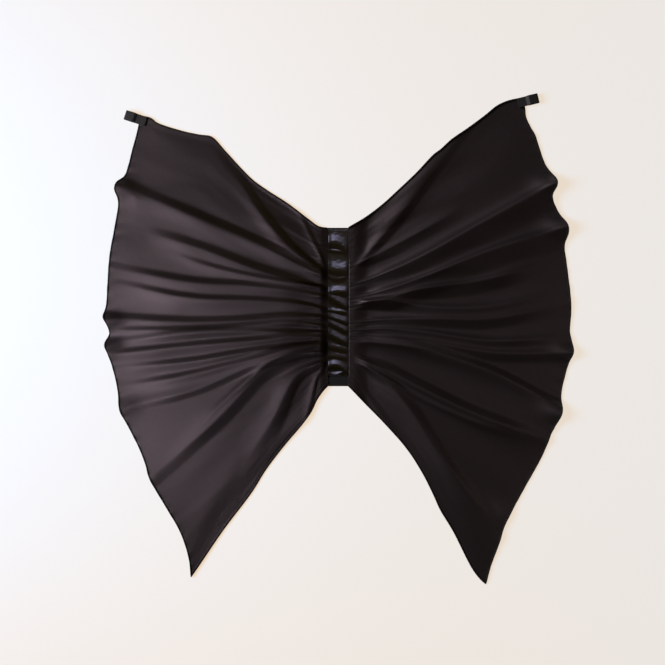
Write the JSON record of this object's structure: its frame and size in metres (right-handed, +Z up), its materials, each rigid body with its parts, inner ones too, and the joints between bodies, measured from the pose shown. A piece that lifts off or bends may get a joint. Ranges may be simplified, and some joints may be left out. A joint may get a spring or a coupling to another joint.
{
  "type": "costume bat wings",
  "caption": "Child's costume wings of thin black silk, gathered on to a ruched centre strip, with a finger loop at each upper corner.",
  "frame": {"origin": "middle of the centre elastic's underside, which lies on the surface", "axes": "+Z up from the surface that the wings lie on, +Y towards the finger loops, +X towards the right wing"},
  "size_m": [0.7985, 0.8366, 0.0158],
  "materials": {
    "wing_silk": "thin plain-weave silk with a soft sheen",
    "hem_thread": "overlocked rolled hem",
    "strip_satin": "glossy ruched satin",
    "elastic": "matte ribbed elastic",
    "loop_ribbon": "satin ribbon"
  },
  "bodies": {
    "root": {"centre_elastic": "elastic", "ruched_strip": "strip_satin", "silk_wing_left": "wing_silk", "silk_wing_right": "wing_silk", "rolled_hem_left": "hem_thread", "rolled_hem_right": "hem_thread", "finger_loop_left": "loop_ribbon", "finger_loop_right": "loop_ribbon"}
  },
  "joints": []
}
